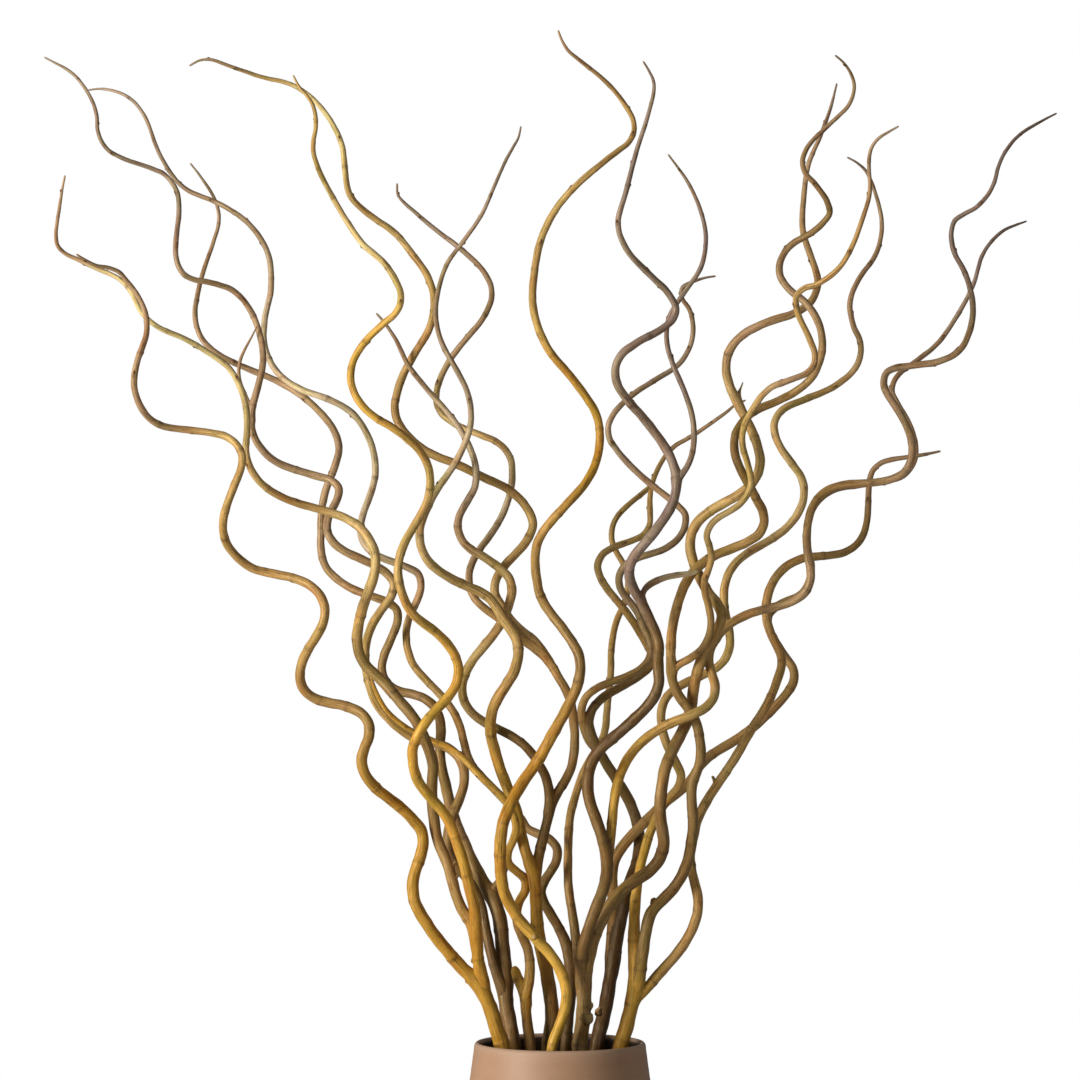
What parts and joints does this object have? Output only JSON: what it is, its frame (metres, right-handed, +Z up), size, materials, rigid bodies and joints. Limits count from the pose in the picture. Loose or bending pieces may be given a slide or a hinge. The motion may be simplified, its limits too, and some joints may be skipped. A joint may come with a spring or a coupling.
{
  "type": "willow stems in a vase",
  "caption": "Tall cut branches of curly willow, bare and winding, fanning out of a round matte ceramic vase.",
  "frame": {"origin": "centre of the vase's flat foot, on the table", "axes": "+Z up along the vase's axis, +X to the viewer's right, +Y away from the viewer, so the front faces -Y"},
  "size_m": [1.0366, 0.5342, 1.3004],
  "materials": {
    "vase_ceramic": "matte brown stoneware",
    "left_golden_bark": "satin golden bark",
    "left_brown_bark": "satin brown bark",
    "slender_bark": "satin tan bark",
    "centre_bark": "satin brown bark",
    "front_golden_bark": "satin golden bark",
    "back_bark": "satin dark brown bark",
    "big_brown_bark": "satin brown bark",
    "dark_bark": "satin very dark brown bark",
    "right_golden_bark": "satin tan bark"
  },
  "bodies": {
    "root": {"vase": "vase_ceramic", "left_golden_branch": "left_golden_bark", "left_brown_branch": "left_brown_bark", "slender_branch": "slender_bark", "centre_branch": "centre_bark", "front_golden_branch": "front_golden_bark", "back_branch": "back_bark", "big_brown_branch": "big_brown_bark", "dark_branch": "dark_bark", "right_golden_branch": "right_golden_bark"}
  },
  "joints": []
}
